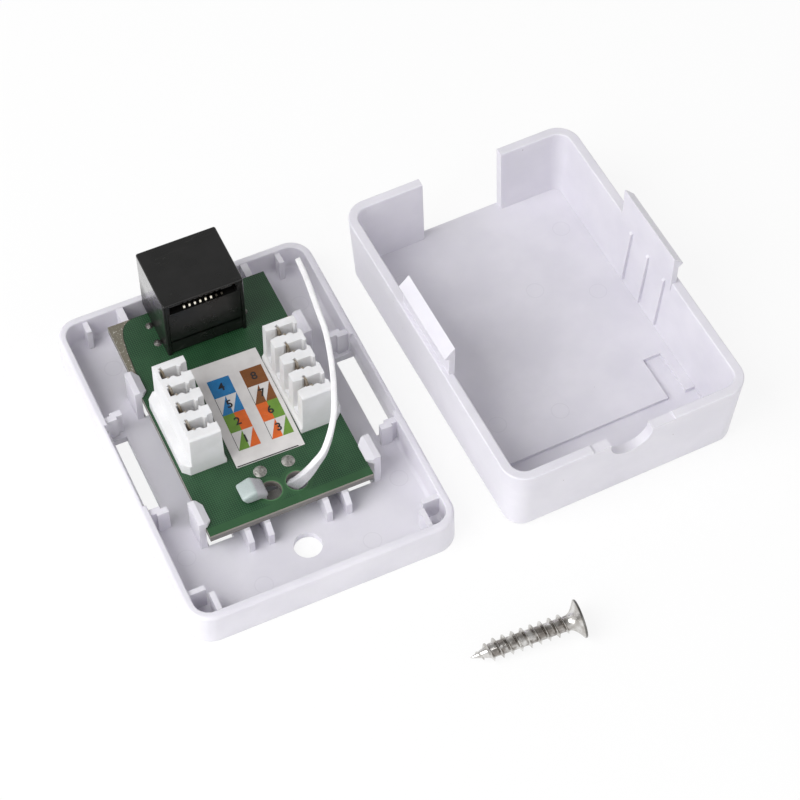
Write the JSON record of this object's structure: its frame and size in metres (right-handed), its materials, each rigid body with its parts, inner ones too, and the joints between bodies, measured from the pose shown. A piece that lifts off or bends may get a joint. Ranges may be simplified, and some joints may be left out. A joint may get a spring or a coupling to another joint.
{
  "type": "surface-mount network wall box",
  "caption": "Opened surface-mount network wall box: tray with circuit board, jack, punch-down blocks and cable tie, with its cover and wall screw beside it.",
  "frame": {"origin": "centre of the tray's back face, which lies on the wall", "axes": "+Z out of the wall, +Y towards the edge with the jack's mouth, +X towards the cover that lies beside the tray"},
  "size_m": [0.1044, 0.0959, 0.0239],
  "materials": {
    "tray_plastic": "satin moulded, very pale lilac white",
    "board": "green lacquer over a woven glass board",
    "jack_plastic": "fine matt charcoal",
    "contact_wire": "bright plated",
    "block_plastic": "satin moulded, warm white",
    "contact_fork": "tinned, stamped",
    "label_card": "printed colour fields on light grey film",
    "tie_nylon": "translucent white nylon",
    "screw_zinc": "bright zinc",
    "solder": "tinned"
  },
  "bodies": {
    "root": {"base_tray": "tray_plastic", "board_eyelets": "solder", "cable_tie": "tie_nylon", "circuit_board": "board", "cover_shell": "tray_plastic", "jack_contact_1": "contact_wire", "jack_contact_2": "contact_wire", "jack_contact_3": "contact_wire", "jack_contact_4": "contact_wire", "jack_contact_5": "contact_wire", "jack_contact_6": "contact_wire", "jack_contact_7": "contact_wire", "jack_contact_8": "contact_wire", "jack_contact_carrier": "jack_plastic", "jack_housing": "jack_plastic", "solder_joints": "solder", "terminal_block_left": "block_plastic", "terminal_block_right": "block_plastic", "terminal_contact_1": "contact_fork", "terminal_contact_2": "contact_fork", "terminal_contact_3": "contact_fork", "terminal_contact_4": "contact_fork", "terminal_contact_5": "contact_fork", "terminal_contact_6": "contact_fork", "terminal_contact_7": "contact_fork", "terminal_contact_8": "contact_fork", "wall_screw": "screw_zinc", "wiring_label": "label_card"}
  },
  "joints": []
}
